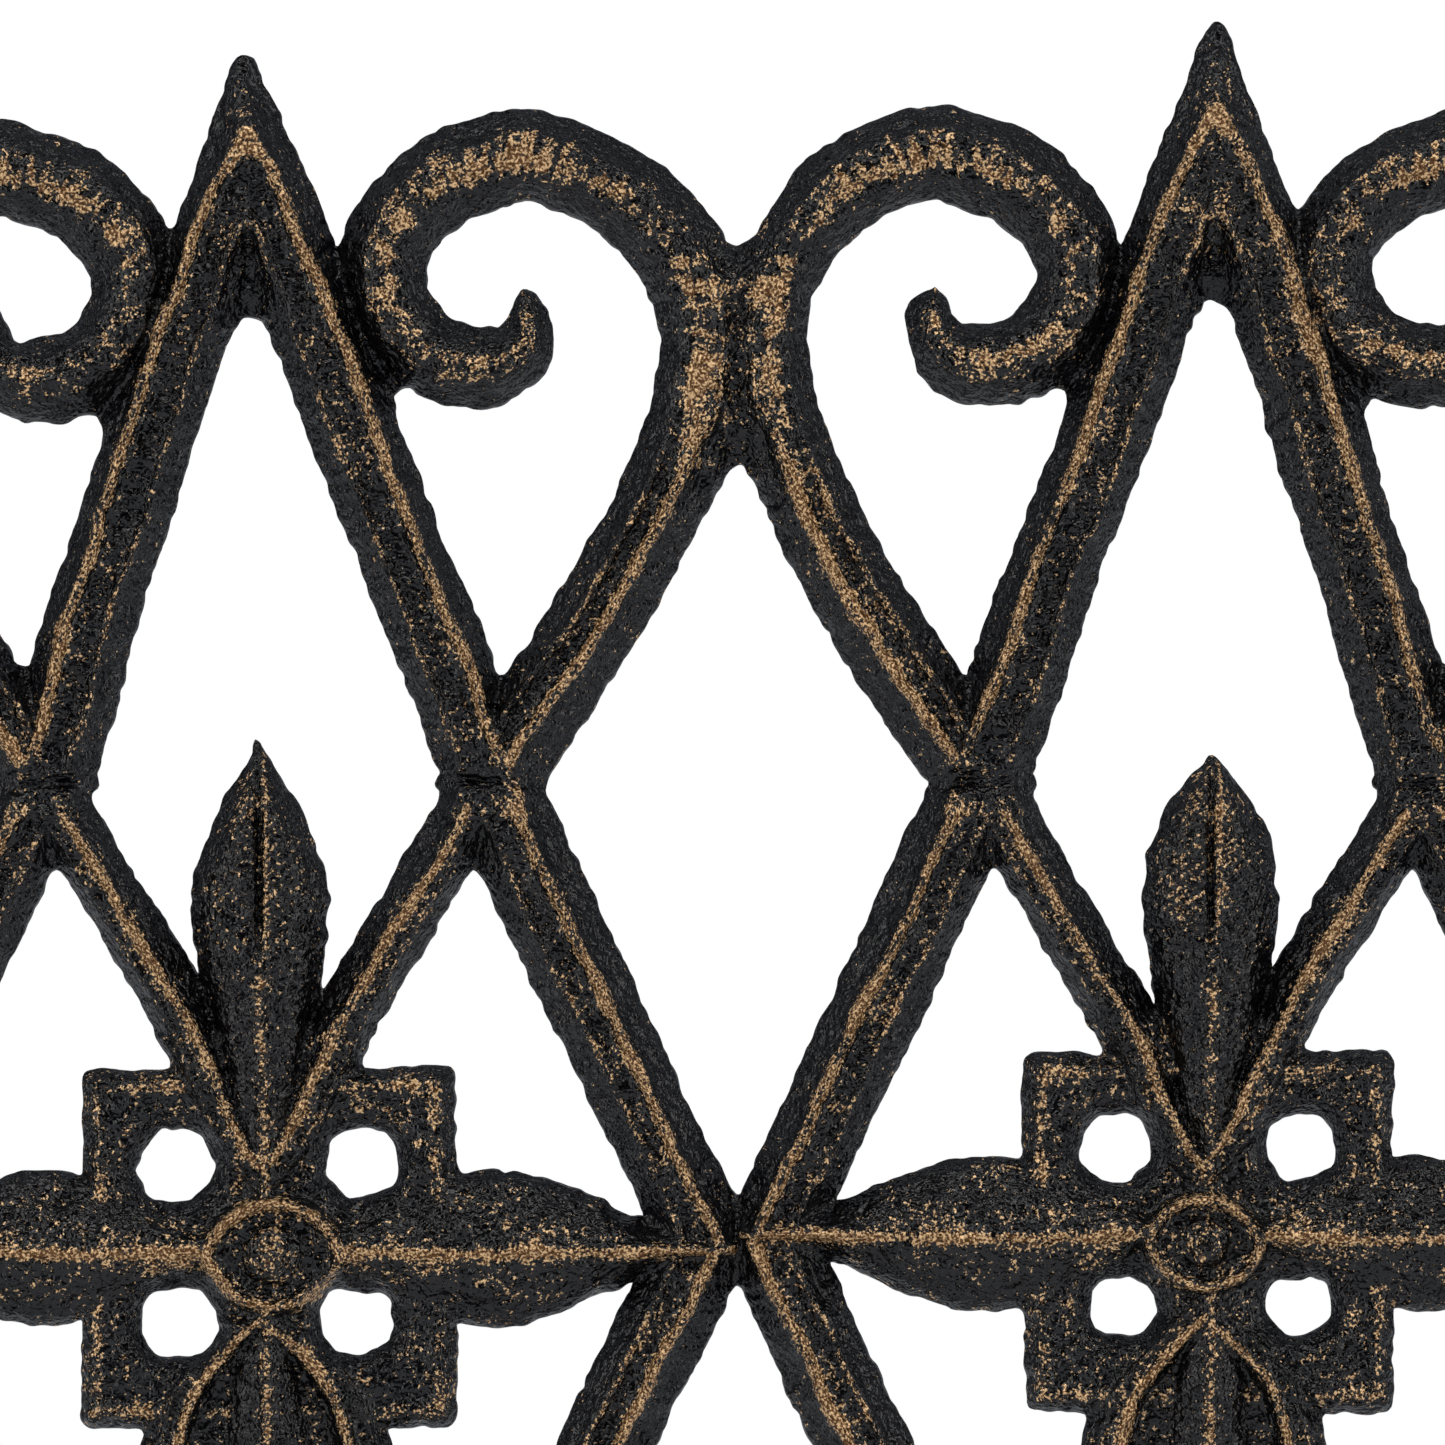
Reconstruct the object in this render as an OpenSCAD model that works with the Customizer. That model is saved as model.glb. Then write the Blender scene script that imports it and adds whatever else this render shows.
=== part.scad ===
// Three-leaf fireplace screen: one wide centre panel and two wings, each a single open iron
// casting, joined by pin hinges and standing on bolted cast feet.
// The front faces -Y, the wings swing back towards +Y, and Z = 0 is the floor.

/* [Lattice] */
// Width of one repeat of the pattern, from valley to valley
period = 120; // [110:1:130]
// Height from one row of crossings to the next row of rosettes
row_pitch = 59; // [55:1:64]
// Number of rosette rows below the pointed arches
rosette_rows = 4; // [2:1:5]
// Width of the main bars
bar_w = 11.8; // [10:0.1:13]
// Width of the ribs that meet at a rosette
rib_w = 8.2; // [7:0.1:9]
// Height of the arch tips above the first row of crossings
tip_h = 95; // [90:1:100]

/* [Casting] */
// Thickness of the bars of a casting
bar_t = 7.5; // [6:0.5:9]
// Height of the bottom rail
rail_h = 14; // [12:1:18]
// Width of the upright at each end of a panel
stile_w = 12; // [10:1:14]

/* [Panels] */
// Repeats across the centre panel
centre_repeats = 4; // [4:2:6]
// Angle of the wings, swung back from the centre panel
wing_angle = 30; // [15:1:60]
// Gap between a panel's end and its hinge axis
edge_gap = 1.5; // [1:0.1:2]

/* [Hinges] */
// Diameter of a hinge pin
pin_d = 6; // [5:0.5:7]
// Radial clearance of a pin in its barrel
pin_clearance = 0.05; // [0.03:0.01:0.09]
// Outer diameter of a hinge barrel
barrel_d = 14; // [12:1:15]
// Length of one hinge barrel
barrel_l = 14; // [12:1:18]
// Thickness of a spacer washer between barrels
spacer_t = 1; // [0.8:0.1:1.5]
// Distance from the back of a panel to its hinge axis
hinge_setback = 8.5; // [8:0.5:10]

/* [Feet] */
// Height of the bottom rail above the floor
foot_h = 30; // [28:1:40]
// Reach of a foot in front of and behind the panel
foot_reach = 46; // [40:1:60]
// Width of a foot
foot_w = 18; // [16:1:22]
// Thickness of the rubber pads
pad_t = 3; // [2:0.5:4]
// Diameter of the foot bolts
bolt_d = 6; // [5:1:6]

/* [Hidden] */

// Pattern, measured from an arch's axis and from a row of crossings
cross_x = 28.5;
bar_span = bar_w * 1.05;
rib_span = rib_w * 1.14;
elbow_x = period / 2 - 4;
inner_tip_h = tip_h - 34;
rib_foot = [2.5, 10];
rail_z = foot_h + rail_h / 2;
row_a = rail_z + 2 * rosette_rows * row_pitch;

// Scroll, measured from the valley axis and from the first row of crossings
stem_curve = [[31.5, 0], [20.3, 16.6], [5.5, 37], [4.1, 54.3]];
sweep_centre = [29.4, 54.3];
sweep_r = 25.3;
curl_centre = [31.9, 66.8];
curl_r = 12.8;
curl_end_angle = -150;
curl_tip = [26.6, 63];

// Rosette, measured from its own centre
plate_size = [48, 46.6];
hole_pos = [11.9, 10.9];
hole_r = 5.1;
boss_r = 7.8;
boss_t = bar_t + 3;

// Hinges
barrel_gap = spacer_t + 0.1;
hinge_l = 3 * barrel_l + 2 * barrel_gap;
lower_hinge_z = foot_h + 2.75 * rail_h;
upper_hinge_z = row_a - hinge_l - 8;
lug_reach = 12;
lug_overlap = 1.5;
pin_r = pin_d / 2;
thread_slack = 0.02;
nut_h = 5;
acorn_across = 10;
finial_ball_r = 8;
finial_collar_h = 3;
finial_neck_h = 4;

// Feet
toe_r = foot_w / 2;
toe_h = 6;
tab_w = 40;
tab_t = 5;
bolt_spacing = 24;
bolt_clearance = 0.2;
saddle_drop = 3;
head_r = 7;
head_h = 3.4;
washer_t = 1.2;
washer_r = 6.2;
hex_across = 10;
thread_end = 1.4;
centre_foot_x = (centre_repeats - 1) * period / 2;
wing_repeats = centre_repeats / 2;
wing_foot_x = wing_repeats * period - 25;

// Middle of the standing screen, front to back, which becomes Y = 0
half_w = centre_repeats * period / 2;
toe_y = foot_reach - toe_r;
wing_toe_y = hinge_setback + wing_foot_x * sin(wing_angle) + (toe_y - hinge_setback) * cos(wing_angle);
middle_y = (wing_toe_y + toe_r - foot_reach) / 2;

iron = "#26262a";
steel = "#8f9196";
brass = "#b08a4a";
rubber = "#1b1b1d";

// Points and curves
function cubic(p, n) = [
    for (i = [0 : n]) let (t = i / n)
        pow(1 - t, 3) * p[0] + 3 * t * pow(1 - t, 2) * p[1] + 3 * t * t * (1 - t) * p[2] + t * t * t * p[3]
];
function arc(centre, r, from, to, n) = [
    for (i = [0 : n]) let (a = from + (to - from) * i / n) centre + r * [cos(a), sin(a)]
];
function mirrored(points) = [for (i = [len(points) - 1 : -1 : 0]) [-points[i].x, points[i].y]];
function heading(path, i) =
    let (step = path[min(i + 1, len(path) - 1)] - path[max(i - 1, 0)]) step / norm(step);
function beside(path, d) = [
    for (i = [0 : len(path) - 1]) path[i] + d * [-heading(path, i).y, heading(path, i).x]
];
function backwards(path) = [for (i = [len(path) - 1 : -1 : 0]) path[i]];

module band(path, w) {
    polygon(concat(beside(path, w / 2), backwards(beside(path, -w / 2))));
}

module slanted_bar(from, to, span) {
    half = [span / 2, 0];
    polygon([from - half, from + half, to + half, to - half]);
}

// One side of a pointed arch, from the first row of crossings to the tip
module arch_side() {
    polygon([
        [cross_x + bar_span / 2, 0], [0, tip_h], [0, inner_tip_h], [cross_x - bar_span / 2, 0]
    ]);
}

// One scroll, from its crossing up to the valley axis, over the top and round its curl
module scroll() {
    path = concat(
        cubic(stem_curve, 6),
        arc(sweep_centre, sweep_r, 164, 96, 5),
        arc(curl_centre, curl_r, 88, curl_end_angle, 9)
    );
    hook = path[len(path) - 1];
    translate([period / 2, 0]) mirror([1, 0]) {
        band(path, bar_w);
        polygon([hook + [3, -5.5], hook + [-2, -5.4], curl_tip + [-3.4, -7], curl_tip, hook + [0.5, 5.5]]);
    }
}

// A quarter of the lattice round one rosette: a main bar and a rib meeting at the crossing
module lattice_quarter() {
    slanted_bar([cross_x, row_pitch], [elbow_x, -0.5], bar_span);
    slanted_bar([cross_x, row_pitch], rib_foot, rib_span);
}

module upright_leaf() {
    side = concat(
        cubic([[0, 63], [3.5, 59], [9, 53], [9, 43]], 4),
        [[8.4, 35], [2.5, 6]]
    );
    polygon(concat(side, mirrored(side)));
}

module level_leaf() {
    top = cubic([[6, 5], [20, 13], [34, 12], [elbow_x - 4, 2.5]], 5);
    polygon(concat(top, [for (p = backwards(top)) [p.x, -p.y]]));
}

module rosette_outline() {
    square(plate_size, center = true);
    for (turn = [0, 1]) {
        mirror([0, turn]) upright_leaf();
        mirror([turn, 0]) level_leaf();
    }
}

module rosette_holes() {
    for (sx = [-1, 1], sy = [-1, 1])
        translate([sx * hole_pos.x, sy * hole_pos.y]) circle(r = hole_r, $fn = 13);
}

module rosette_rows_at() {
    for (r = [0 : rosette_rows - 1])
        translate([0, row_a - (2 * r + 1) * row_pitch]) children();
}

// The bars, scrolls and rosettes of one repeat, about the axis of its arch
module pattern() {
    for (side = [0, 1]) mirror([side, 0]) {
        translate([0, row_a]) {
            arch_side();
            scroll();
        }
        rosette_rows_at() for (turn = [0, 1]) mirror([0, turn]) lattice_quarter();
    }
    rosette_rows_at() rosette_outline();
}

// One repeat with its stretch of bottom rail, and an upright where the panel ends
module repeat_outline(first, last) {
    left = -period / 2 + (first ? edge_gap : 0);
    right = period / 2 - (last ? edge_gap : 0);
    upright = [stile_w, row_a - foot_h + 52];
    offset(delta = 0) intersection() {
        difference() {
            union() {
                pattern();
                translate([left, foot_h]) square([right - left, rail_h]);
                if (first) translate([left, foot_h]) square(upright);
                if (last) translate([right - stile_w, foot_h]) square(upright);
            }
            rosette_rows_at() rosette_holes();
        }
        translate([left, foot_h]) square([right - left, row_a + tip_h]);
    }
}

// A panel with its left end's valley axis at X = 0 and its back at Y = 0. Its front faces -Y.
module panel_casting(repeats) {
    for (i = [0 : repeats - 1]) translate([(i + 0.5) * period, 0, 0]) {
        rotate([90, 0, 0]) linear_extrude(bar_t) repeat_outline(i == 0, i == repeats - 1);
        rosette_bosses();
    }
}

module rosette_bosses() {
    for (r = [0 : rosette_rows - 1])
        translate([0, 0, row_a - (2 * r + 1) * row_pitch]) rotate([90, 0, 0]) {
            cylinder(r = boss_r, h = boss_t, $fn = 48);
        }
}

module bolt_pair(x) {
    for (side = [-1, 1]) translate([x + side * bolt_spacing / 2, 0, rail_z]) rotate([90, 0, 0]) children();
}

module foot_bolt_holes(x) {
    bolt_pair(x) translate([0, 0, -2 * tab_t]) cylinder(d = bolt_d + 2 * bolt_clearance, h = 40, $fn = 32);
}

// One hinge barrel with the lug that joins it to the panel's end, about the hinge axis at X = 0.
// The panel lies on the +X side.
module hinge_barrel(z) {
    translate([0, 0, z]) linear_extrude(barrel_l) {
        translate([0, hinge_setback]) circle(d = barrel_d, $fn = 48);
        polygon([
            [edge_gap, -lug_overlap], [edge_gap, 2], [0, 4], [0, hinge_setback + barrel_d / 2],
            [3, hinge_setback + barrel_d / 2], [edge_gap + lug_reach, 0], [edge_gap + lug_reach, -lug_overlap]
        ]);
    }
}

module hinge_bore(z, l) {
    translate([0, hinge_setback, z - 1])
        cylinder(r = pin_r + pin_clearance, h = l + 2, $fn = 48);
}

hinge_levels = [lower_hinge_z, upper_hinge_z];
wing_barrel_z = barrel_l + barrel_gap;

module centre_casting() {
    color(iron) difference() {
        union() {
            translate([-half_w, 0, 0]) panel_casting(centre_repeats);
            for (side = [0, 1], z = hinge_levels, step = [0, 2 * wing_barrel_z])
                mirror([side, 0, 0]) translate([-half_w, 0, 0]) hinge_barrel(z + step);
        }
        for (side = [0, 1], z = hinge_levels)
            mirror([side, 0, 0]) translate([-half_w, 0, 0]) hinge_bore(z, hinge_l);
        for (x = [-centre_foot_x, centre_foot_x]) foot_bolt_holes(x);
    }
}

module wing_casting() {
    color(iron) difference() {
        union() {
            panel_casting(wing_repeats);
            for (z = hinge_levels) hinge_barrel(z + wing_barrel_z);
        }
        for (z = hinge_levels) hinge_bore(z, hinge_l);
        foot_bolt_holes(wing_foot_x);
    }
}

// Puts a right wing's piece, drawn about its hinge at X = 0, in its swung-back place
module on_wing(side) {
    translate([0, -middle_y, 0]) mirror([side == "left" ? 1 : 0, 0, 0])
        translate([half_w, hinge_setback, 0]) rotate([0, 0, wing_angle]) translate([0, -hinge_setback, 0])
            children();
}

module on_wing_foot(side) {
    on_wing(side) translate([wing_foot_x, 0, 0]) children();
}

module on_centre(x = 0) {
    translate([x, -middle_y, 0]) children();
}

module on_hinge(side, z) {
    translate([side == "left" ? -half_w : half_w, hinge_setback - middle_y, z]) children();
}

// Foot: two legs on round toes, with a saddle for the rail and a tab behind it
module foot_profile() {
    shoulder = foot_h - saddle_drop;
    top = cubic([[12, shoulder], [24, shoulder], [25, 11], [toe_y, pad_t + toe_h]], 8);
    under = cubic([[toe_y, pad_t], [26, pad_t], [22, 15], [1, 15]], 8);
    polygon(concat(
        [[-bar_t - 1, foot_h], [tab_t, foot_h]], top, under,
        mirrored(under), mirrored(top)
    ));
}

module foot() {
    color(iron) difference() {
        union() {
            translate([-foot_w / 2 + 2, 0, 0]) rotate([90, 0, 90]) linear_extrude(foot_w - 4) foot_profile();
            for (y = [-toe_y, toe_y]) translate([0, y, pad_t]) cylinder(r = toe_r, h = toe_h, $fn = 48);
            translate([-tab_w / 2, 0, foot_h - 6]) cube([tab_w, tab_t, rail_h + 6]);
        }
        foot_bolt_holes(0);
    }
}

module foot_pads() {
    color(rubber) for (y = [-toe_y, toe_y])
        translate([0, y, 0]) cylinder(r = toe_r - 1, h = pad_t, $fn = 48);
}

module carriage_bolts() {
    shank = bar_t + tab_t + washer_t + nut_h + thread_end;
    color(iron) bolt_pair(0) {
        translate([0, 0, bar_t - shank]) cylinder(d = bolt_d, h = shank, $fn = 32);
        intersection() {
            translate([0, 0, bar_t + head_h - head_r * 1.2]) sphere(r = head_r * 1.2, $fn = 48);
            translate([0, 0, bar_t]) cylinder(r = head_r, h = head_h, $fn = 48);
        }
    }
}

module bolt_washers() {
    color(steel) bolt_pair(0) translate([0, 0, -tab_t - washer_t]) difference() {
        cylinder(r = washer_r, h = washer_t, $fn = 48);
        translate([0, 0, -1]) cylinder(d = bolt_d + 0.4, h = washer_t + 2, $fn = 32);
    }
}

module bolt_nuts() {
    color(steel) bolt_pair(0) translate([0, 0, -tab_t - washer_t - nut_h]) difference() {
        cylinder(d = hex_across / cos(30), h = nut_h, $fn = 6);
        translate([0, 0, -1]) cylinder(d = bolt_d + 2 * thread_slack, h = nut_h + 2, $fn = 32);
    }
}

// The hinge hardware, about the hinge axis with the lowest barrel's bottom at Z = 0
module hinge_pin() {
    color(steel) translate([0, 0, -nut_h])
        cylinder(r = pin_r, h = nut_h + hinge_l + finial_collar_h + finial_neck_h, $fn = 48);
}

module finial() {
    blind = finial_collar_h + finial_neck_h + 0.5;
    ball_z = finial_collar_h + finial_neck_h + finial_ball_r - 2;
    color(iron) translate([0, 0, hinge_l]) difference() {
        union() {
            cylinder(r = barrel_d / 2 - 0.5, h = finial_collar_h, $fn = 48);
            translate([0, 0, finial_collar_h]) cylinder(r1 = 6, r2 = 4.4, h = finial_neck_h, $fn = 48);
            translate([0, 0, ball_z]) sphere(r = finial_ball_r, $fn = 48);
            translate([0, 0, ball_z + finial_ball_r - 1]) cylinder(r1 = 3, r2 = 1, h = 4, $fn = 48);
        }
        translate([0, 0, -1]) cylinder(r = pin_r + thread_slack, h = blind + 1, $fn = 48);
    }
}

module acorn_nut() {
    color(iron) difference() {
        union() {
            translate([0, 0, -nut_h]) cylinder(d = acorn_across / cos(30), h = nut_h, $fn = 6);
            translate([0, 0, -nut_h]) intersection() {
                sphere(r = acorn_across / 2 - 0.4, $fn = 48);
                translate([0, 0, -acorn_across]) cylinder(r = acorn_across, h = acorn_across + 1, $fn = 48);
            }
        }
        translate([0, 0, -nut_h - 0.3]) cylinder(r = pin_r + thread_slack, h = nut_h + 1.3, $fn = 48);
    }
}

module spacers() {
    play = (barrel_gap - spacer_t) / 2;
    levels = [barrel_l + play, 2 * barrel_l + barrel_gap + play];
    color(brass) for (z = levels) translate([0, 0, z]) difference() {
        cylinder(r = barrel_d / 2 - 0.5, h = spacer_t, $fn = 48);
        translate([0, 0, -1]) cylinder(r = pin_r + 0.1, h = spacer_t + 2, $fn = 48);
    }
}

on_centre() centre_casting();  // centre_panel
on_wing("left") wing_casting();  // left_wing
on_wing("right") wing_casting();  // right_wing
on_hinge("left", upper_hinge_z) hinge_pin();  // left_upper_hinge_pin
on_hinge("left", upper_hinge_z) finial();  // left_upper_finial
on_hinge("left", upper_hinge_z) acorn_nut();  // left_upper_acorn_nut
on_hinge("left", upper_hinge_z) spacers();  // left_upper_spacers
on_hinge("left", lower_hinge_z) hinge_pin();  // left_lower_hinge_pin
on_hinge("left", lower_hinge_z) finial();  // left_lower_finial
on_hinge("left", lower_hinge_z) acorn_nut();  // left_lower_acorn_nut
on_hinge("left", lower_hinge_z) spacers();  // left_lower_spacers
on_hinge("right", upper_hinge_z) hinge_pin();  // right_upper_hinge_pin
on_hinge("right", upper_hinge_z) finial();  // right_upper_finial
on_hinge("right", upper_hinge_z) acorn_nut();  // right_upper_acorn_nut
on_hinge("right", upper_hinge_z) spacers();  // right_upper_spacers
on_hinge("right", lower_hinge_z) hinge_pin();  // right_lower_hinge_pin
on_hinge("right", lower_hinge_z) finial();  // right_lower_finial
on_hinge("right", lower_hinge_z) acorn_nut();  // right_lower_acorn_nut
on_hinge("right", lower_hinge_z) spacers();  // right_lower_spacers
on_centre(-centre_foot_x) foot();  // centre_left_foot
on_centre(-centre_foot_x) carriage_bolts();  // centre_left_foot_bolts
on_centre(-centre_foot_x) bolt_washers();  // centre_left_foot_washers
on_centre(-centre_foot_x) bolt_nuts();  // centre_left_foot_nuts
on_centre(-centre_foot_x) foot_pads();  // centre_left_foot_pads
on_centre(centre_foot_x) foot();  // centre_right_foot
on_centre(centre_foot_x) carriage_bolts();  // centre_right_foot_bolts
on_centre(centre_foot_x) bolt_washers();  // centre_right_foot_washers
on_centre(centre_foot_x) bolt_nuts();  // centre_right_foot_nuts
on_centre(centre_foot_x) foot_pads();  // centre_right_foot_pads
on_wing_foot("left") foot();  // left_wing_foot
on_wing_foot("left") carriage_bolts();  // left_wing_foot_bolts
on_wing_foot("left") bolt_washers();  // left_wing_foot_washers
on_wing_foot("left") bolt_nuts();  // left_wing_foot_nuts
on_wing_foot("left") foot_pads();  // left_wing_foot_pads
on_wing_foot("right") foot();  // right_wing_foot
on_wing_foot("right") carriage_bolts();  // right_wing_foot_bolts
on_wing_foot("right") bolt_washers();  // right_wing_foot_washers
on_wing_foot("right") bolt_nuts();  // right_wing_foot_nuts
on_wing_foot("right") foot_pads();  // right_wing_foot_pads
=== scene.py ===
import math

import bmesh
import bpy
import numpy as np
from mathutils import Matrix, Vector


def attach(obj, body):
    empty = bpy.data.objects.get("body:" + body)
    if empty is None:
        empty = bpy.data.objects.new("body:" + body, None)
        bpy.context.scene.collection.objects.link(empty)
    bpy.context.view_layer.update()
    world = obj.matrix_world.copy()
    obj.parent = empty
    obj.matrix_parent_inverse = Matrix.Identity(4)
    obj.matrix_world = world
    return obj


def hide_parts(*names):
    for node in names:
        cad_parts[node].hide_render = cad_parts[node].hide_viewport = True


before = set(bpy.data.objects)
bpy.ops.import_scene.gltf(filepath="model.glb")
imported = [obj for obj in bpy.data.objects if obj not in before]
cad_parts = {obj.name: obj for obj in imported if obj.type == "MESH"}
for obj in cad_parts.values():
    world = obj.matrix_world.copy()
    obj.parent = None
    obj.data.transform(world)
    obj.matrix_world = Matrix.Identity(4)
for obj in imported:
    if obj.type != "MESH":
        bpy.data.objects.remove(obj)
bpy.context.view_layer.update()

MM = 0.001

# Pattern of the casting in millimetres, the same as the CAD model's
PERIOD = 120.0
PITCH = 59.0
CROSS_X = 28.5
ELBOW_X = PERIOD / 2 - 4
ROWS = 4
CENTRE_REPEATS = 4
WING_REPEATS = 2
FOOT_H = 30.0
RAIL_H = 14.0
ROW_A = FOOT_H + RAIL_H / 2 + 2 * ROWS * PITCH
TIP_H = 95.0
EDGE_GAP = 1.5
STILE_W = 12.0
RIB_HALF = 4.1

# Relief of the casting in millimetres: half width of a main bar, height of a stroke's edges, and the fillets
# where strokes cross and where they meet end to end
BAR_HALF = 5.85
EDGE_T = 2.6
FILLET = 1.6
JOIN = 0.2

# Hinges and places of the panels. The hinge axes are SETBACK behind the panels, and the back of the centre
# panel is MIDDLE_Y in front of the origin
SETBACK = 8.5
MIDDLE_Y = 51.8409
HALF_W = CENTRE_REPEATS * PERIOD / 2
BARREL_L = 14.0
BARREL_R = 7.0
BORE_R = 3.05
SPACER_T = 1.1
BARREL_STEP = BARREL_L + SPACER_T
HINGE_L = 3 * BARREL_L + 2 * SPACER_T
HINGE_Z = [FOOT_H + 2.75 * RAIL_H, ROW_A - HINGE_L - 8]
WING_ANGLE = math.radians(30)

# Mesh spacing in millimetres
SPREAD = 1.0
FINE_STEP = 0.42 * SPREAD
CENTRE_STEP = 1.35 * SPREAD
WING_STEP = 1.25 * SPREAD
BARREL_MESH_STEP = 0.7 * SPREAD


# ---------------------------------------------------------------- curves and noise

def hashed(ix, iz, seed):
    """A scattered value between -1 and 1 for each pair of whole numbers, the same on every run."""
    h = (ix.astype(np.int64) * 374761393 + iz.astype(np.int64) * 668265263 + seed * 974634777) & 0xFFFFFFFF
    h = ((h ^ (h >> 13)) * 1274126177) & 0xFFFFFFFF
    return ((h ^ (h >> 16)) & 0xFFFF) / 32767.5 - 1.0


def noise(x, z, cell, seed):
    """Smooth value noise between -1 and 1, from random values at the corners of a grid turned by the seed."""
    turn = 0.7 + 1.3 * seed
    u = (math.cos(turn) * x - math.sin(turn) * z) / cell
    v = (math.sin(turn) * x + math.cos(turn) * z) / cell
    iu = np.floor(u)
    iv = np.floor(v)
    fu = u - iu
    fv = v - iv
    fu = fu * fu * (3 - 2 * fu)
    fv = fv * fv * (3 - 2 * fv)
    low = hashed(iu, iv, seed) * (1 - fu) + hashed(iu + 1, iv, seed) * fu
    high = hashed(iu, iv + 1, seed) * (1 - fu) + hashed(iu + 1, iv + 1, seed) * fu
    return low * (1 - fv) + high * fv


def smooth_min(a, b, k):
    """The smaller of a and b, rounded off where they differ by less than k."""
    h = np.clip(0.5 + 0.5 * (b - a) / k, 0, 1)
    return b * (1 - h) + a * h - k * h * (1 - h)


def smooth_max(a, b, k):
    """The larger of a and b, rounded off where they differ by less than k."""
    return -smooth_min(-a, -b, k)


def hump(v, centre, width):
    """A bell curve that is 1 at the centre and 0.37 one width away."""
    return np.exp(-(((v - centre) / width) ** 2))


def cubic(p, n):
    """n + 1 points along the cubic Bezier curve with control points p."""
    t = np.linspace(0, 1, n + 1)[:, None]
    p = np.array(p, float)
    return (1 - t) ** 3 * p[0] + 3 * t * (1 - t) ** 2 * p[1] + 3 * t * t * (1 - t) * p[2] + t ** 3 * p[3]


def unit(degrees):
    """Unit vectors at these angles."""
    a = np.radians(degrees)
    return np.stack([np.cos(a), np.sin(a)], -1)


def ease(value, low, high):
    """0 below low, 1 above high, and smooth between."""
    t = np.clip((value - low) / (high - low), 0, 1)
    return t * t * (3 - 2 * t)


def along(x, z, path, halves):
    """For a path whose half width varies: the signed distance from its middle line, positive on its left, the
    half width at the nearest point, and the distance to its outline, negative inside."""
    best = np.full(x.shape, 1e9)
    side = np.zeros(x.shape)
    half = np.zeros(x.shape)
    for (ax, az), (bx, bz), wa, wb in zip(path[:-1], path[1:], halves[:-1], halves[1:]):
        dx, dz = bx - ax, bz - az
        t = np.clip(((x - ax) * dx + (z - az) * dz) / (dx * dx + dz * dz), 0, 1)
        px, pz = x - ax - t * dx, z - az - t * dz
        dist = np.hypot(px, pz)
        w = wa + (wb - wa) * t
        nearer = dist - w < best
        best = np.where(nearer, dist - w, best)
        side = np.where(nearer, np.sign(dx * pz - dz * px) * dist, side)
        half = np.where(nearer, w, half)
    return side, half, best


def bar(x, z, start, end):
    """Signed distance to the left of the straight line from start to end."""
    dx, dz = end[0] - start[0], end[1] - start[1]
    return (dx * (z - start[1]) - dz * (x - start[0])) / math.hypot(dx, dz)


def polygon_distance(x, z, points):
    """Signed distance to a closed outline, negative inside."""
    best = np.full(x.shape, 1e9)
    inside = np.zeros(x.shape, bool)
    for (ax, az), (bx, bz) in zip(points, np.roll(points, -1, 0)):
        dx, dz = bx - ax, bz - az
        t = np.clip(((x - ax) * dx + (z - az) * dz) / (dx * dx + dz * dz), 0, 1)
        best = np.minimum(best, np.hypot(x - ax - t * dx, z - az - t * dz))
        crosses = (az > z) != (bz > z)
        if az != bz:
            inside ^= crosses & (x < ax + (z - az) / (bz - az) * dx)
    return np.where(inside, -best, best)


# ---------------------------------------------------------------- relief of the strokes
# Each stroke's cross-section runs from -1 to 1, with its main ridge on the positive side.

def profile(v, knots):
    """Height across a stroke through the knots, going on at the end slopes past the edges."""
    x, y = zip(*knots)
    h = np.interp(v, x, y)
    low = (y[1] - y[0]) / (x[1] - x[0])
    high = (y[-2] - y[-1]) / (x[-1] - x[-2])
    return h + np.minimum(v + 1, 0) * low - np.maximum(v - 1, 0) * high


def stroke(v, main, thin, top=5.9, main_h=1.8, thin_h=1.15):
    """A flat top between two beads, with a bevel outside each. Returns the height and the gilding."""
    floor = profile(v, [(-1, EDGE_T), (thin - 0.06, top), (main + 0.08, top + 0.25), (1, EDGE_T)])
    h = floor + main_h * hump(v, main, 0.14) + thin_h * hump(v, thin, 0.085)
    on_top = np.clip((v - thin) / 0.1, 0, 1) * np.clip((main + 0.1 - v) / 0.1, 0, 1)
    edges = hump(v, main - 0.09, 0.05) + hump(v, main + 0.07, 0.045)
    gilt = 0.78 * edges + 0.34 * hump(v, main - 0.02, 0.17)
    return h, gilt + 0.62 * hump(v, thin, 0.055) + 0.22 * on_top


def spear_relief(v):
    return stroke(v, 0.46, -0.46)


def bar_relief(v):
    return stroke(v, 0.29, -0.42, thin_h=0.7)


def stem_relief(v):
    h, gilt = stroke(v, 0.2, -0.42, 6.1)
    return h, gilt + 0.06


def scroll_relief(v):
    h = profile(v, [(-1, EDGE_T), (-0.5, 6.3), (0, 7.2), (0.45, 6.5), (1, EDGE_T)])
    h = h + 0.5 * hump(v, 0.2, 0.2)
    return h, 0.6 * hump(v, -0.04, 0.3) + 0.25 * hump(v, -0.2, 0.1) + 0.35 * hump(v, 0.38, 0.07)


def rib_relief(v):
    h, gilt = stroke(v, 0.08, -0.5, 6.1, 1.2, 0.4)
    return h, gilt * 0.7 + 0.42 * hump(v, 0.04, 0.33)


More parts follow.
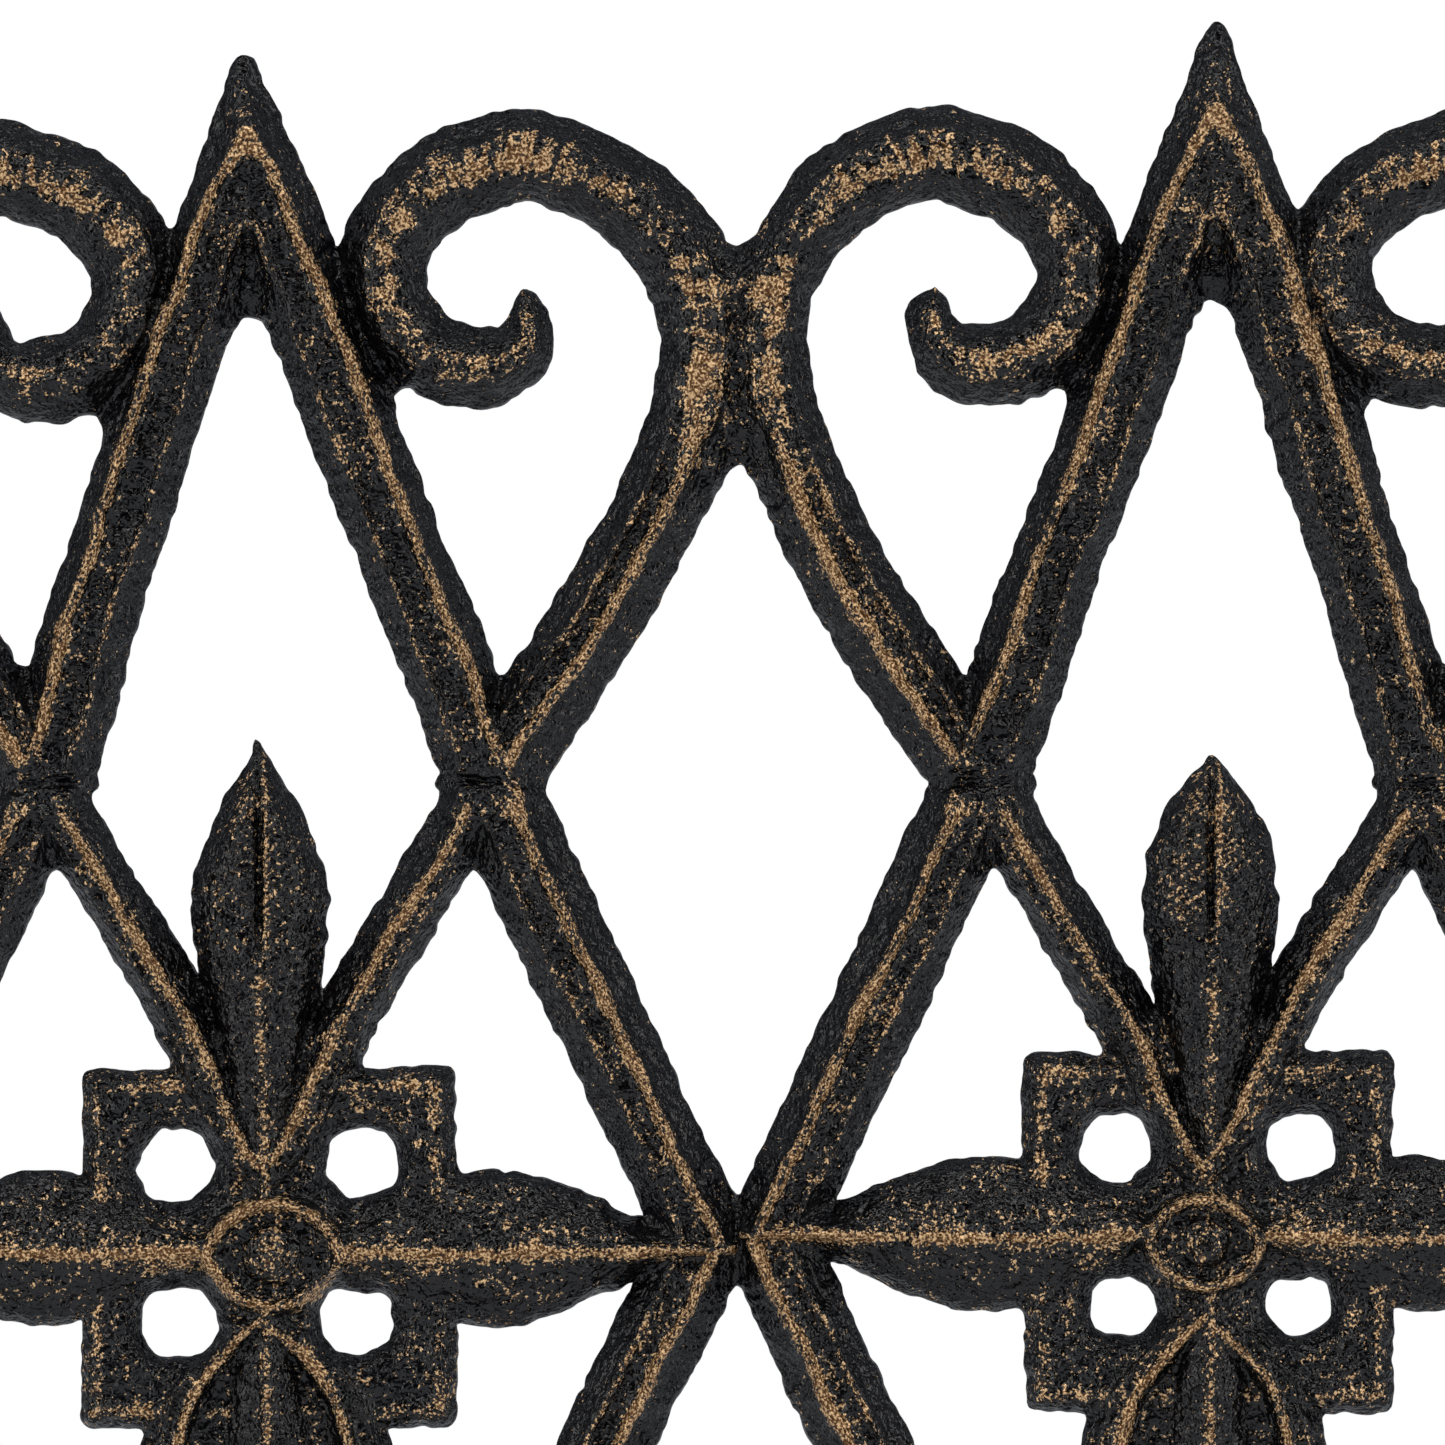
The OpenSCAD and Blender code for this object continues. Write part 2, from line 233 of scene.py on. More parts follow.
class Skin:
    """A growing union of strokes. d: distance to the outline. h: front height. gilt: how worn to gold."""

    def __init__(self, x, z):
        self.d = np.full(x.shape, 50.0)
        self.h = np.full(x.shape, -20.0)
        self.gilt = np.zeros(x.shape)
        self.wobble = 0.07 * noise(x, z, 8, 15) + 0.045 * noise(x, z, 2.6, 16)

    def add(self, d, h, gilt, fillet=FILLET, blend=0.4):
        """Joins a stroke on, with a fillet between the outlines and a softer one between the surfaces."""
        h = np.where(d < 4, h, -20.0)
        lift = np.clip((h - self.h) / 0.5 + 0.5, 0, 1)
        self.gilt = self.gilt * (1 - lift) + gilt * lift
        self.d = smooth_min(self.d, d, fillet)
        self.h = smooth_max(self.h, h, blend)


# ---------------------------------------------------------------- shapes of the casting

def scroll_path():
    """Middle line of a scroll and its half widths, from its crossing up, over and round to the hook."""
    stem = cubic([[31.5, 0], [20.3, 16.6], [5.5, 37], [4.1, 54.3]], 14)
    sweep = np.array([29.5, 54.5]) + 25.9 * unit(np.linspace(178, 94, 15))
    angles = np.linspace(84, -88, 21)
    radii = 13.2 - 0.9 * hump(angles, 48, 28) - 0.8 * np.clip(-angles / 88, 0, 1)
    curl = np.array([31.9, 65.4]) + radii[:, None] * unit(angles)
    hook = cubic([curl[-1], [28.4, 52.7], [25.0, 56.4], [26.8, 62.8]], 10)
    path = np.vstack([stem, sweep, curl, hook[1:]])
    halves = np.full(len(path), BAR_HALF)
    first = len(stem) + len(sweep)
    halves[first : first + len(curl)] = np.linspace(6.0, 5.2, len(curl))
    halves[-10:] = 0.5 + 4.7 * np.linspace(1, 0, 10) ** 0.55
    return path, halves


SCROLL_PATH, SCROLL_HALVES = scroll_path()


def lattice(s, ax, az, below):
    """Main bars and ribs in a quarter of a repeat. ax, az: distances from the arch's axis and the rosette's
    row. The ribs bow outwards near a rosette, more so below it."""
    bow = np.where(below, 4.4 * hump(az, 19, 9), 2.2 * hump(az, 13, 9))
    for a in (ax, PERIOD - ax):
        for b in (az, 2 * PITCH - az):
            u = -bar(a, b, (ELBOW_X, 0), (CROSS_X, PITCH)) / BAR_HALF
            d = np.maximum((np.abs(u) - 1) * BAR_HALF, b - PITCH - 0.6)
            s.add(d, *bar_relief(u + s.wobble))
            u = bar(a - bow, b, (-0.5, 11), (CROSS_X, PITCH)) / RIB_HALF
            d = np.maximum(np.maximum((np.abs(u) - 1) * RIB_HALF, b - PITCH - 0.6), 9 - b)
            s.add(d, *rib_relief(u + s.wobble))


def fillet_above(zt):
    """Small at the first row of crossings, where strokes meet end to end, and full away from it."""
    return JOIN + (FILLET - JOIN) * ease(np.abs(zt), 1.5, 5)


def arch(s, xa, zt, tip, out):
    """The pointed arch above the first row of crossings. xa: distance from its leaning axis."""
    stretch = np.clip(1 + (tip - TIP_H) / TIP_H * np.clip(zt / 60, 0, 1), 0.9, 1.1)
    z = zt / stretch
    xa = np.hypot(xa, 1.1) - out * ease(zt, 4, 26) * (1 - ease(zt, 66, 92))
    u = -bar(xa, z, (CROSS_X, 0), (0, 80.5)) / BAR_HALF
    h, gilt = spear_relief(u + s.wobble + 0.16 * np.clip((z - 62) / 20, 0, 1) ** 1.3)
    gilt = gilt * (1 - 0.45 * ease(z, 52, 60) * (1 - ease(u, -0.3, 0.1)))
    gilt = gilt + 0.3 * hump(xa, 0, 3.2) * hump(z, 67, 4.5) + 0.3 * hump(xa, 0, 2.4) * hump(z, 85, 4)
    d = np.maximum((np.abs(u) - 1) * BAR_HALF, -z - 0.6)
    d = smooth_min(d, np.maximum(xa - 3.0, np.abs(z - 63) - 3.2), 2.5)
    nose = bar(xa, z, (7.8, 80.6), (2.4, TIP_H - 1))
    nose = smooth_max(-nose, z - TIP_H, 1.6)
    d = smooth_max(d, np.where(z > 60, nose, -20), 1.0)
    h = smooth_min(h, np.where(z > 78, 7.6 - 0.45 * xa, 20), 0.5)
    s.add(d, h, gilt, fillet_above(zt))


def scrolls(s, x_valley, zt, shift_v, shift_z, ball):
    """The pair of scrolls that rises in the valley between two arches. x_valley: distance from the valley's
    middle. shift_v, shift_z: how far the curl sits in and up. ball: 1 where the hook ends in a ball."""
    pair = Skin(x_valley, zt)
    reach = ease(x_valley, 2, 12) * ease(zt, 26, 48)
    web = np.where((zt > 36) & (zt < 74), 5.6 - 0.3 * np.abs(x_valley), -20)
    x_valley = x_valley + shift_v * reach
    zt = zt - shift_z * reach
    for v in (x_valley, -x_valley):
        near = (zt > -8) & (zt < 90) & (v > -12) & (v < 56)
        u, half, d = (np.full(v.shape, f) for f in (5.0, 1.0, 50.0))
        u[near], half[near], d[near] = along(v[near], zt[near], SCROLL_PATH, SCROLL_HALVES)
        u = u / np.maximum(half, 0.5) + s.wobble
        d = np.maximum(d, -zt - 0.6)
        d = smooth_min(d, np.hypot(v - 25.9, zt - 59.3) - 3.1 * ball + 20 * (ball == 0), 1.0)
        share = np.clip((50 - zt) / 14, 0, 1) * (v < 30)
        stem_h, stem_gilt = stem_relief(u)
        scroll_h, scroll_gilt = scroll_relief(u)
        turn = np.arctan2(zt - 60, v - 30) * 24
        dabs = noise(turn, np.hypot(v - 30, zt - 60) * 0.3, 0.9, 23)
        scroll_gilt = scroll_gilt + 0.5 * dabs * hump(u, 0, 0.6)
        thin = np.clip(half / 4.5, 0.3, 1)
        h = stem_h * share + (EDGE_T + (scroll_h - EDGE_T) * thin) * (1 - share)
        pair.add(d, h, stem_gilt * share + scroll_gilt * (1 - share), 5.0, 1.0)
    web = web + 0.5 * noise(x_valley, zt, 3.5, 21)
    pair.h = np.where(pair.h > 0, smooth_max(pair.h, web, 1.0), pair.h)
    pair.gilt = pair.gilt + 0.3 * hump(x_valley, 0, 4) * hump(zt, 55, 16)
    s.add(pair.d, pair.h, pair.gilt, fillet_above(zt) + 3.4 * hump(zt, 47, 7))


def upright_leaf(s, lx, az, length, blunt):
    """A beaded leaf, grooved towards its tip and ribbed below. lx: distance from its leaning middle line."""
    widest = length * 0.68
    over = np.clip((az - widest) / (length - widest), 0, 1)
    under = np.clip((widest - az) / widest, 0, 1)
    w = np.where(az > widest, 8.9 * (1 - over ** blunt), 8.9 - 7.2 * under ** 1.2)
    d = np.maximum((np.abs(lx) - w) * np.where(az > widest, 0.8, 0.97), 6 - az)
    d = np.where(az > length, np.hypot(lx, az - length), d)
    r = np.clip(np.abs(lx) / np.maximum(w, 0.6), 0, 1.5)
    h = 3.2 + 4.6 * (1 - r ** 2.4) * np.clip(w / 5, 0.5, 1)
    split = ease(az, 30, 44)
    groove = 0.4 * hump(lx, 0.95, 0.5) - 1.6 * hump(lx, 0, 0.45)
    h = h + split * groove + (1 - split) * 0.9 * hump(lx, 0, 0.9)
    rows = 2 * np.pi * r * 4.5
    beads = np.cos(2 * np.pi * az / 1.45 + np.where(np.cos(rows) > 0, 0, np.pi)) * np.abs(np.cos(rows))
    h = h + 0.26 * beads
    line = split * hump(lx, 0.95, 0.32) + (1 - split) * hump(lx, 0, 0.8)
    gilt = 0.7 * line + 0.3 * hump(r, 0.35, 0.4) * split + 0.3 * beads
    s.add(d, h, gilt, 0.9)


def level_leaf(s, ax, zl):
    """The ridged leaf on each side of the boss."""
    lengths = [0, 7, 14, 20, 27, 33, 40, 46, 52, 56]
    halves = [2.6, 3.0, 6.0, 8.8, 10.2, 9.7, 7.1, 4.3, 2.2, 1.4]
    w = np.interp(ax, lengths, halves)
    az = np.abs(zl)
    d = (az - w) * 0.92
    r = np.clip(az / w, 0, 1.5)
    h = 3.4 + 4.3 * (1 - r ** 1.6) + 0.4 * hump(zl, 0, 0.8)
    streaks = 0.22 * noise(ax, zl * 3.2, 4.2, 22)
    near_boss = 0.35 * hump(ax, 12, 12) * hump(zl, -0.7, 2.2)
    gilt = 0.7 * hump(zl, -0.4, 0.8) + 0.4 * hump(r, 0.12, 0.5) + near_boss
    gilt = gilt + streaks
    s.add(d, h, gilt, 1.4)


def plate(s, ax, az):
    """The square plate behind the leaves, with a low rim."""
    px, pz = ax - 22.3, az - 21.7
    d = np.hypot(np.maximum(px, 0), np.maximum(pz, 0)) + np.minimum(np.maximum(px, pz), 0) - 1.4
    rim = hump(d, -2.3, 0.8)
    s.add(d, 5.0 + 0.4 * rim, 0.22 + 0.45 * rim, 1.0)


def boss(s, xl, zl, size):
    """An eye-shaped rim round a hollow with a dome in it."""
    xl, zl = xl / size, zl / size
    eye = np.maximum(np.hypot(xl, zl - 2), np.hypot(xl, zl + 2)) - 9.8
    rim = hump(eye, -1.1, 0.95)
    dome = np.sqrt(np.clip(1 - (np.hypot(xl, zl) / 3.8) ** 2, 0, 1))
    h = 6.9 + 1.8 * rim + 2.0 * dome
    on = np.clip(0.4 - eye / 1.0, 0, 1)
    s.h = s.h * (1 - on) + np.maximum(h, s.h * (eye > -1)) * on
    s.gilt = s.gilt * (1 - on) + (0.7 * rim + 0.45 * dome * dome + 0.3) * on


def rosette(s, xl, zl, leaf, hole_size, eye):
    """Four leaves and a pierced plate round a boss. leaf: length, bluntness and lean of the upright leaves.
    eye: size of the boss and how far right and down it sits."""
    ax, az = np.abs(xl), np.abs(zl)
    length, blunt, lean = leaf
    upright_leaf(s, xl - lean * az / 60, az, length, blunt)
    level_leaf(s, ax, zl)
    plate(s, ax, az)
    between_ribs = np.maximum(ax - 0.4 * az, np.abs(az - 23) - 8)
    s.add(np.where(zl < 0, between_ribs, 50), 4.2, 0, 0.9)
    near = (ax < 30) & (az < 30)
    rough = 0.45 * noise(xl, zl, 3.1, 24) + 0.25 * noise(xl, zl, 1.7, 25)
    hole_x = np.where(zl < 0, 11.0, 11.9)
    hole_z = np.where(zl < 0, 9.6, 10.9)
    hole = np.hypot(ax - hole_x, (az - hole_z) * 1.06) - hole_size + rough
    s.d = np.where(near, smooth_max(s.d, -hole, 0.5), s.d)
    s.h = s.h - np.where(near, 1.6 * (1 - ease(hole, 0, 2.4)), 0)
    s.gilt = np.where(near, s.gilt * ease(hole, 0.6, 2.6) + 0.22 * hump(hole, 2.9, 0.5), s.gilt)
    size, right, down = eye
    boss(s, xl - right, zl + down, size)


def crossing_flats(s, ax, az):
    """The flat worn patch where four strokes meet."""
    reach = np.hypot(ax - CROSS_X, (az - PITCH) * 0.9) / 4.2
    near = np.exp(-(reach ** 4))
    s.h = s.h * (1 - near) + np.minimum(s.h, 6.3) * near
    s.gilt = s.gilt * (1 - 0.75 * near)


def skin(x, z, columns, quirks):
    """The whole panel. x from its middle, z above the floor. Inside: wx and wz are the place in the slightly
    warped pattern, xl and zl the place from the nearest rosette's middle, and zt the height above the first
    row of crossings."""
    first = -(columns - 1) / 2 * PERIOD
    wx = x + 0.42 * noise(x, z, 24, 1) + 0.2 * noise(x, z, 11, 2)
    wz = z + 0.42 * noise(x, z, 26, 3) + 0.2 * noise(x, z, 12, 4)
    i = np.clip(np.round((wx - first) / PERIOD), 0, columns - 1).astype(int)
    q = {key: np.array([quirk[key] for quirk in quirks])[i] for key in quirks[0]}
    xl = wx - first - i * PERIOD
    zt = wz - ROW_A
    row = np.clip(np.round((-zt / PITCH - 1) / 2), 0, ROWS - 1)
    zl = zt + (2 * row + 1) * PITCH
    chance = hashed(i, row, 9)
    top = (row == 0) & (zl > 0)
    leaf = (
        np.where(top, q["leaf"], 62.2 + 0.9 * chance),
        np.where(top, q["blunt"], 2.0 + 0.5 * chance),
        np.where(top, q["leaf_lean"], 0.8 * chance),
    )
    hole_size = 4.9 - 0.35 * hashed(i * 2 + (xl > 0), row * 2 + (zl > 0), 10)
    hole_size = hole_size - np.where(row == 0, q["small_holes"], 0)
    eye = (
        np.where(row == 0, q["eye"], 1.0),
        np.where(row == 0, q["eye_right"], 0.0),
        np.where(row == 0, q["eye_down"], 0.0),
    )
    s = Skin(x, z)
    lattice(s, np.abs(xl), np.where(zt < 1, np.abs(zl), 500), zl < 0)
    right = xl > 0
    out = np.where(right, q["right_bar_out"], q["left_bar_out"])
    arch(s, np.abs(xl - q["lean"] * np.clip(zt / TIP_H, 0, 1.2)), zt, q["tip"], out)
    shift_v = np.where(right, q["right_curl_in"], q["left_curl_in"])
    shift_z = np.where(right, q["right_curl_up"], q["left_curl_up"])
    ball = np.where(right, q["right_ball"], q["left_ball"])
    scrolls(s, PERIOD / 2 - np.abs(xl), zt, shift_v, shift_z, ball)
    off_x = np.where(row == 0, q["rosette_x"], 0.5 * hashed(i, row, 19)) * ease(55 - np.abs(xl), 0, 20)
    off_z = np.where(row == 0, q["rosette_z"], 0.5 * hashed(i, row, 20)) * ease(55 - np.abs(zl), 0, 20)
    rosette(s, xl - off_x, zl - off_z, leaf, hole_size, eye)
    crossing_flats(s, np.abs(xl), np.abs(zl))
    half = columns * PERIOD / 2 - EDGE_GAP
    u = (np.abs(x) - half + STILE_W / 2) / (STILE_W / 2)
    s.add(np.maximum((np.abs(u) - 1) * STILE_W / 2, zt - 52), *rib_relief(u))
    u = (z - FOOT_H - RAIL_H / 2) / (RAIL_H / 2)
    s.add((np.abs(u) - 1) * RAIL_H / 2, *rib_relief(u))
    s.d = s.d + 0.12 + 0.18 * noise(x, z, 6.5, 5) + 0.22 * noise(x, z, 2.2, 6) + 0.2 * noise(x, z, 1.2, 13)
    s.h = s.h + 0.25 * noise(x, z, 5.5, 7) + 0.3 * noise(x, z, 2.2, 8) + 0.32 * noise(x, z, 1.0, 14)
    s.d = np.maximum(s.d, np.maximum(np.abs(x) - half, FOOT_H - z))
    s.h = smooth_min(s.h, EDGE_T + 1.9 * np.maximum(-s.d, -1) + 0.25 * noise(x, z, 1.3, 17), 0.6)
    s.h = np.maximum(s.h, EDGE_T - 0.9 + 0.8 * np.clip(-s.d, 0, 4))
    s.gilt = s.gilt * (1.1 + 0.4 * noise(x, z, 9, 18)) - 0.15
    return s


# ---------------------------------------------------------------- meshing a height field

def outline_net(gx, gz, d):
    """Places one vertex in each grid cell that the shape enters and one quad round each inner grid point.
    Returns vertex positions, quads, and the edges of the outline in order round it. Grid points that touch
    only corner to corner are joined first, so that every outline closes."""
    inside = d < 0
    inside[0, :] = inside[-1, :] = False
    inside[:, 0] = inside[:, -1] = False
    a, b = inside[:-1, :-1] & inside[1:, 1:], inside[:-1, 1:] | inside[1:, :-1]
    inside[:-1, 1:] |= a & ~b
    a, b = inside[:-1, 1:] & inside[1:, :-1], inside[:-1, :-1] | inside[1:, 1:]
    inside[:-1, :-1] |= a & ~b
    d = np.where(inside, np.minimum(d, -1e-3), np.maximum(d, 1e-3))
    X, Z = np.meshgrid(gx, gz, indexing="ij")
    total = np.zeros((3,) + (len(gx) - 1, len(gz) - 1))
    corners = [(slice(None, -1), slice(None, -1)), (slice(1, None), slice(None, -1)),
               (slice(1, None), slice(1, None)), (slice(None, -1), slice(1, None))]
    for p, q in zip(corners, corners[1:] + corners[:1]):
        cut = inside[p] != inside[q]
        t = np.where(cut, d[p] / (d[p] - d[q] + 1e-12), 0)
        total[0] += np.where(cut, X[p] + t * (X[q] - X[p]), 0)
        total[1] += np.where(cut, Z[p] + t * (Z[q] - Z[p]), 0)
        total[2] += cut
    count = np.maximum(total[2], 1)
    mid = [sum(grid[c] for c in corners) / 4 for grid in (X, Z)]
    cx = np.where(total[2] > 0, total[0] / count, mid[0])
    cz = np.where(total[2] > 0, total[1] / count, mid[1])
    used = sum(inside[c].astype(int) for c in corners) > 0
    index = np.full(used.shape, -1)
    index[used] = np.arange(used.sum())
    i, j = np.nonzero(inside)
    quads = np.stack([index[i - 1, j - 1], index[i, j - 1], index[i, j], index[i - 1, j]], 1)
    edges = []
    for di, dj, start, end in ((1, 0, (0, -1), (0, 0)), (0, 1, (0, 0), (-1, 0)),
                               (-1, 0, (-1, 0), (-1, -1)), (0, -1, (-1, -1), (0, -1))):
        k = ~inside[i + di, j + dj]
        first = index[i[k] + start[0], j[k] + start[1]]
        last = index[i[k] + end[0], j[k] + end[1]]
        edges.append(np.stack([first, last], 1))
    return np.stack([cx[used], cz[used]], 1), quads, np.vstack(edges)


def slab(points, quads, edges, front, back, outward, rings):
    """Closes a flat net into a solid: front and back layers joined by a wall of rings.
    Each ring is (share of the way back, push outwards)."""
    n = len(points)
    verts = [np.column_stack([points, front]), np.column_stack([points, back])]
    rim = np.unique(edges)
    place = np.full(n, -1)
    place[rim] = np.arange(len(rim))
    layers = [rim]
    total = 2 * n
    for share, push in rings:
        p = points[rim] + outward[rim] * np.asarray(push)[:, None]
        verts.append(np.column_stack([p, front[rim] * (1 - share) + back[rim] * share]))
        layers.append(total + np.arange(len(rim)))
        total += len(rim)
    layers.append(rim + n)
    walls = []
    a, b = place[edges[:, 0]], place[edges[:, 1]]
    for upper, lower in zip(layers[:-1], layers[1:]):
        walls.append(np.stack([upper[b], upper[a], lower[a], lower[b]], 1))
    return np.vstack(verts), np.vstack([quads, quads[:, ::-1] + n] + walls)


def mesh_object(name, verts, faces, gilt=None):
    """verts in millimetres in the scene's frame."""
    mesh = bpy.data.meshes.new(name)
    mesh.vertices.add(len(verts))
    mesh.vertices.foreach_set("co", (np.asarray(verts) * MM).astype(np.float32).ravel())
    mesh.loops.add(faces.size)
    mesh.loops.foreach_set("vertex_index", faces.astype(np.int32).ravel())
    mesh.polygons.add(len(faces))
    mesh.polygons.foreach_set("loop_start", np.arange(0, faces.size, 4, dtype=np.int32))
    mesh.polygons.foreach_set("loop_total", np.full(len(faces), 4, dtype=np.int32))
    mesh.update(calc_edges=True)
    mesh.validate()
    mesh.shade_smooth()
    if gilt is not None:
        layer = mesh.attributes.new("gilt", "FLOAT", "POINT")
        layer.data.foreach_set("value", gilt.astype(np.float32))
    obj = bpy.data.objects.new(name, mesh)
    bpy.context.collection.objects.link(obj)
    return obj


def spaced(low, high, coarse, windows=()):
    """Grid lines from low to high, closer together inside the windows."""
    cuts = [low]
    spans = []
    for a, b, step in windows:
        spans += [(cuts[-1], a, coarse), (a, b, step)]
        cuts.append(b)
    spans.append((cuts[-1], high, coarse))
    lines = [np.linspace(a, b, max(2, int(round((b - a) / step)) + 1))[:-1] for a, b, step in spans if b > a]
    return np.append(np.concatenate(lines), high)


def panel_points(columns, quirks, windows_x, windows_z, coarse):
    """The panel's solid as vertices (x from its middle, height above its back plane, z), faces and gilt."""
    half = columns * PERIOD / 2
    gx = spaced(-half - 1, half + 1, coarse, windows_x)
    gz = spaced(FOOT_H - 3, ROW_A + TIP_H + 4, coarse, windows_z)
    X, Z = np.meshgrid(gx, gz, indexing="ij")
    points, quads, edges = outline_net(gx, gz, skin(X, Z, columns, quirks).d)
    here = skin(points[:, 0], points[:, 1], columns, quirks)
    rim = np.unique(edges)
    outward = np.zeros_like(points)
    rx, rz = points[rim, 0], points[rim, 1]
    step = 0.5
    gradient = np.stack([
        skin(rx + step, rz, columns, quirks).d - skin(rx - step, rz, columns, quirks).d,
        skin(rx, rz + step, columns, quirks).d - skin(rx, rz - step, columns, quirks).d,
    ], 1)
    outward[rim] = gradient / np.maximum(np.linalg.norm(gradient, axis=1), 1e-6)[:, None]
    bump = noise(rx, rz, 2.1, 11)
    back = 0.25 + 0.25 * noise(points[:, 0], points[:, 1], 3.5, 12)
    back[rim] += 0.35
    rings = [(0.25, 0.12 + 0.15 * bump), (0.75, 0.1 - 0.15 * bump)]
    verts, faces = slab(points, quads, edges, here.h, back, outward, rings)
    gilt = np.zeros(len(verts))
    gilt[: len(points)] = here.gilt
    return verts, faces, gilt


def on_centre(verts):
    """Moves panel vertices (x, z, height above the back plane) to the centre panel's place."""
    return np.column_stack([verts[:, 0], -MIDDLE_Y - verts[:, 2], verts[:, 1]])


def on_wing(verts, side):
    """verts: x from the hinge axis outwards, z, and height in front of the wing's back plane."""
    u, v = verts[:, 0], -verts[:, 2] - SETBACK
    x = HALF_W + u * math.cos(WING_ANGLE) - v * math.sin(WING_ANGLE)
    y = SETBACK + u * math.sin(WING_ANGLE) + v * math.cos(WING_ANGLE) - MIDDLE_Y
    return np.column_stack([side * x, y, verts[:, 1]])


# ---------------------------------------------------------------- hinge barrels

def barrel_points(z):
    """One barrel with its lug, as vertices and faces. A vertex is x outwards from the hinge axis, z, and
    height in front of the panel's back plane. The net lies in plan and its layers are the barrel's ends."""
    lug = np.array([[EDGE_GAP, 1.5], [EDGE_GAP, -2], [0.3, -4], [0, -14], [3, -SETBACK - BARREL_R],
                    [13.5, 0], [13.5, 1.5]])
    gx = np.arange(-9, 17, BARREL_MESH_STEP)
    gy = np.arange(-18, 5, BARREL_MESH_STEP)
    X, Y = np.meshgrid(gx, gy, indexing="ij")

    def field(x, y):
        ring = np.hypot(x, y + SETBACK)
        d = smooth_min(ring - BARREL_R, polygon_distance(x, y, lug), 1.2)
        return smooth_max(d, BORE_R - ring, 0.2)

    points, quads, edges = outline_net(gx, gy, field(X, Y))
    d = field(points[:, 0], points[:, 1])
    chamfer = np.maximum(0.9 + d, 0) ** 2 * 0.9
    rough = 0.12 * noise(points[:, 0] + z, points[:, 1], 3, 21)
    front = BARREL_L - chamfer + np.minimum(rough, 0)
    back = chamfer + np.maximum(rough, 0)
    rim = np.unique(edges)
    outward = np.zeros_like(points)
    rx, ry = points[rim, 0], points[rim, 1]
    gradient = np.stack([
        field(rx + 0.3, ry) - field(rx - 0.3, ry),
        field(rx, ry + 0.3) - field(rx, ry - 0.3),
    ], 1)
    outward[rim] = gradient / np.maximum(np.linalg.norm(gradient, axis=1), 1e-6)[:, None]
    outer = np.hypot(rx, ry + SETBACK) > BORE_R + 1.5
    rings = []
    for share in (0.08, 0.28, 0.5, 0.72, 0.92):
        push = 0.16 * noise(rx * 1.3 + 40 * share, ry + 7 * share + z, 3.2, 22)
        rings.append((share, outer * push))
    verts, faces = slab(points, quads, edges, front, back, outward, rings)
    return np.column_stack([verts[:, 0], z + verts[:, 2], verts[:, 1]]), faces


def joined(parts):
    """Several (verts, faces, gilt) as one."""
    verts, faces, gilts, count = [], [], [], 0
    for v, f, g in parts:
        verts.append(v)
        faces.append(f + count)
        gilts.append(g)
        count += len(v)
    return np.vstack(verts), np.vstack(faces), np.concatenate(gilts)


def flipped(faces, on):
    """Turns faces over, for a mirrored copy."""
    return faces[:, ::-1] if on else faces


def barrels(bottoms):
    """Barrels standing at these heights, each as (verts, faces, gilt)."""
    for z in bottoms:
        verts, faces = barrel_points(z)
        yield verts, faces, np.full(len(verts), 0.12)


# ---------------------------------------------------------------- materials

def material(name, colour, roughness, metallic=0.0):
    """A plain material, with its node tree and its shader node."""
    m = bpy.data.materials.new(name)
    m.use_nodes = True
    m.diffuse_color = (*colour, 1)
    shader = m.node_tree.nodes["Principled BSDF"]
    shader.inputs["Base Color"].default_value = (*colour, 1)
    shader.inputs["Roughness"].default_value = roughness
    shader.inputs["Metallic"].default_value = metallic
    return m, m.node_tree, shader


class Graph:
    """Short ways to add and link nodes."""

    def __init__(self, tree):
        self.tree = tree
        self.place = tree.nodes.new("ShaderNodeTexCoord").outputs["Object"]

    def link(self, source, target):
        self.tree.links.new(source, target)

    def noise(self, scale, detail=2.0, rough=0.5, stretch=None):
        node = self.tree.nodes.new("ShaderNodeTexNoise")
        node.inputs["Scale"].default_value = scale
        node.inputs["Detail"].default_value = detail
        node.inputs["Roughness"].default_value = rough
        source = self.place
        if stretch:
            mapping = self.tree.nodes.new("ShaderNodeMapping")
            mapping.inputs["Scale"].default_value = stretch
            self.link(self.place, mapping.inputs["Vector"])
            source = mapping.outputs["Vector"]
        self.link(source, node.inputs["Vector"])
        return node.outputs["Fac"]

    def math(self, operation, a, b):
        node = self.tree.nodes.new("ShaderNodeMath")
        node.operation = operation
        for socket, value in zip(node.inputs, (a, b)):
            if isinstance(value, (int, float)):
                socket.default_value = value
            else:
                self.link(value, socket)
        return node.outputs[0]

    def ramp(self, value, low, high, out_low=0.0, out_high=1.0):
        node = self.tree.nodes.new("ShaderNodeMapRange")
        node.interpolation_type = "SMOOTHSTEP"
        node.inputs["From Min"].default_value = low
        node.inputs["From Max"].default_value = high
        node.inputs["To Min"].default_value = out_low
        node.inputs["To Max"].default_value = out_high
        self.link(value, node.inputs["Value"])
        return node.outputs["Result"]

    def mix(self, factor, a, b):
        node = self.tree.nodes.new("ShaderNodeMix")
        node.data_type = "RGBA"
        self.link(factor, node.inputs["Factor"])
        for socket, value in ((node.inputs["A"], a), (node.inputs["B"], b)):
            if isinstance(value, tuple):
                socket.default_value = (*value, 1)
            else:
                self.link(value, socket)
        return node.outputs["Result"]

    def bump(self, height, distance, shader, strength=1.0, normal=None):
        node = self.tree.nodes.new("ShaderNodeBump")
        node.inputs["Distance"].default_value = distance
        node.inputs["Strength"].default_value = strength
        self.link(height, node.inputs["Height"])
        if normal:
            self.link(normal, node.inputs["Normal"])
        if shader:
            self.link(node.outputs["Normal"], shader.inputs["Normal"])
        return node.outputs["Normal"]


